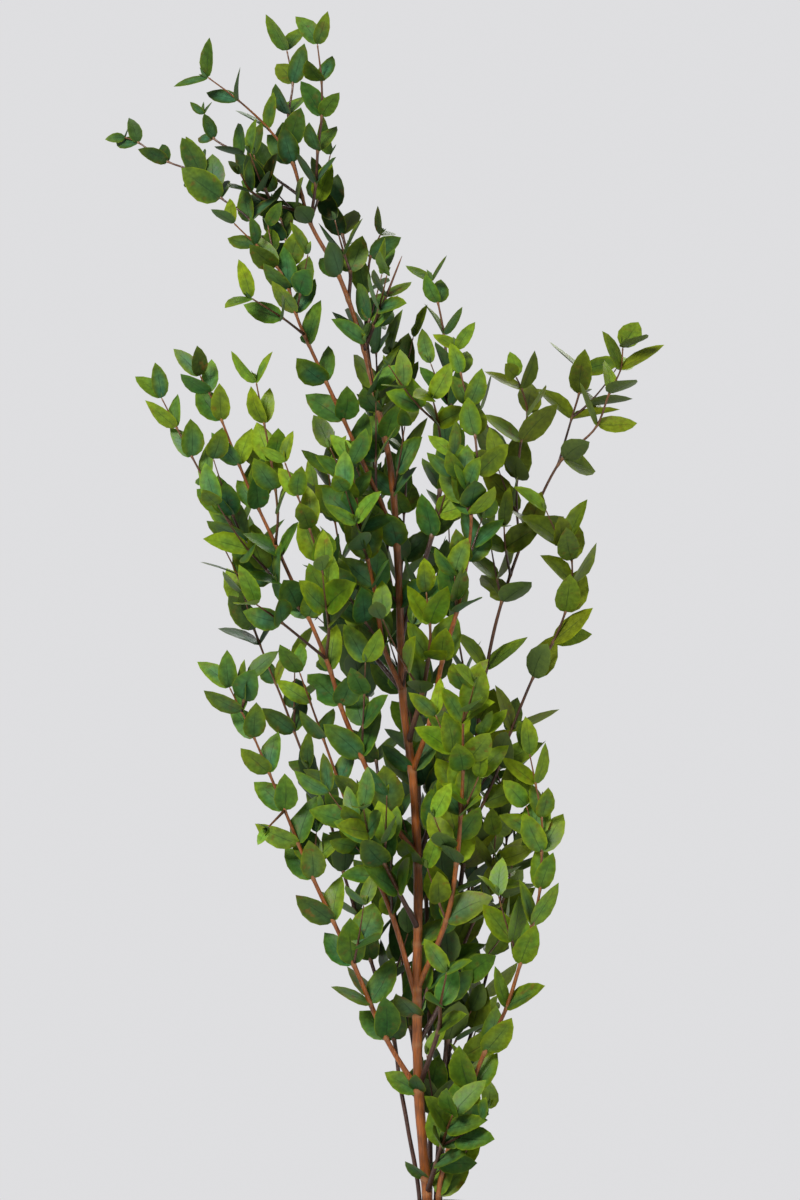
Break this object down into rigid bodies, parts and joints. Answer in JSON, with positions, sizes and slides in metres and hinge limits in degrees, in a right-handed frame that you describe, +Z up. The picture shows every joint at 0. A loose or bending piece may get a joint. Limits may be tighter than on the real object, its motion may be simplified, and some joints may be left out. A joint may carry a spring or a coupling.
{
  "type": "preserved eucalyptus branches in vase",
  "caption": "Tall spray of preserved eucalyptus: long bare-footed stems with opposite oval leaves along every side shoot, standing in a plain narrow-necked stoneware vase",
  "frame": {"origin": "Middle of the vase's foot, on the surface that it stands on.", "axes": "+Z up along the vase's axis, -Y towards the picture's viewer, +X to the viewer's right."},
  "size_m": [0.2783, 0.1972, 0.7973],
  "materials": {
    "stoneware": "matte",
    "leaf": "satin",
    "bark": "matte"
  },
  "bodies": {
    "root": {"vase": "stoneware", "branch_centre": "leaf", "branch_right": "leaf", "branch_far_right": "leaf", "branch_left": "leaf", "branch_back": "leaf", "branch_back_left": "leaf", "branch_back_right": "leaf"}
  },
  "joints": []
}
